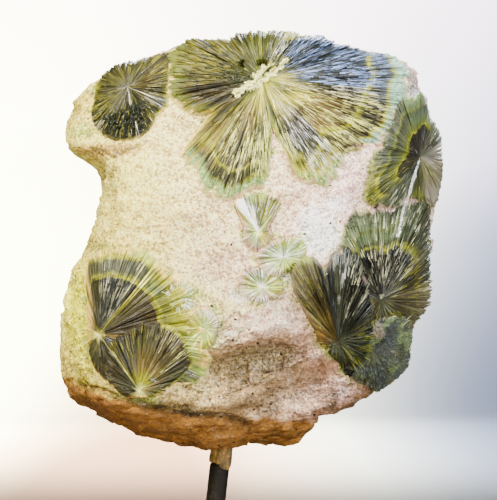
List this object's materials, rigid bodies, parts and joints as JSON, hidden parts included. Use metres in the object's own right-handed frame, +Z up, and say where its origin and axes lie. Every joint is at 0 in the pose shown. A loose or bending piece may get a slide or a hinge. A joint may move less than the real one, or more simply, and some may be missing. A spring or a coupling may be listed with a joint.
{
  "type": "wavellite specimen on a stand",
  "caption": "Block of pale sandy stone with radiating green crystal suns on its front, held by putty on a leaning rod over a plain bevelled base.",
  "frame": {"origin": "middle of the base's underside", "axes": "+Z up the stand, front of the stone faces -Y, +X to the right as seen from the front"},
  "size_m": [0.0615, 0.04, 0.101],
  "materials": {
    "sandy_matrix": "rough sandy break, cream to pinkish grey, with ochre stains and dark pits",
    "green_wavellite": "silky radiating fibres, olive, yellow-green and steel blue, with mint rims",
    "pale_wavellite": "bright silky needles, white to yellow-green",
    "dark_wavellite": "glossy dark green fibres with yellow-green growth bands",
    "cream_putty": "dull pressed putty",
    "black_rod": "satin black, a little worn",
    "black_base": "smooth satin black"
  },
  "bodies": {
    "root": {"matrix_rock": "sandy_matrix", "wavellite_sun_top": "green_wavellite", "wavellite_sun_upper_left": "green_wavellite", "wavellite_sun_lower_left": "green_wavellite", "wavellite_sprays_centre": "pale_wavellite", "wavellite_cluster_right": "dark_wavellite", "mounting_putty": "cream_putty", "stand_rod": "black_rod", "stand_base": "black_base"}
  },
  "joints": []
}
